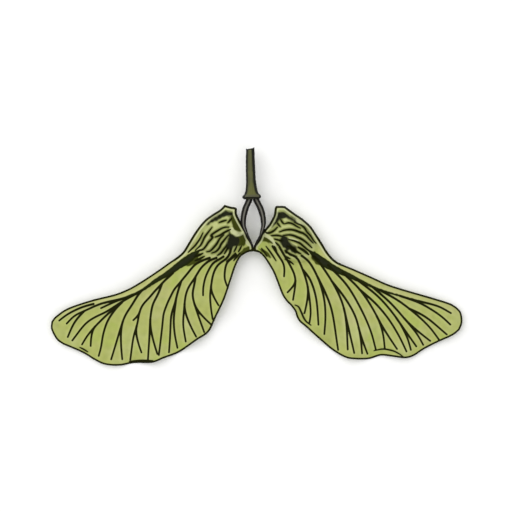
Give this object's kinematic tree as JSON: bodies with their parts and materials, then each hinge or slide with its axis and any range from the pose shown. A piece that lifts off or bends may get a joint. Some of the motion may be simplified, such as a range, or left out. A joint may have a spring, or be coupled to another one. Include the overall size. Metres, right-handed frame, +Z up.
{
  "type": "maple samara",
  "caption": "Paired maple key: winged nutlets with veined, waved blades, held on a fork under a cut stalk, lying flat.",
  "frame": {"origin": "on the surface that the samara lies on, under the middle of its box", "axes": "+X along the span from wing tip to wing tip, +Y towards the cut end of the stalk, +Z up from the surface"},
  "size_m": [0.0826, 0.0438, 0.0051],
  "materials": {
    "samara": "dry papery membrane, matt, dark raised veins",
    "stalk": "dull dry stalk, finely ridged",
    "fork": "dull fibrous strands"
  },
  "bodies": {
    "root": {"samara_left": "samara", "samara_right": "samara", "pedicel": "stalk", "carpophore": "fork"}
  },
  "joints": []
}
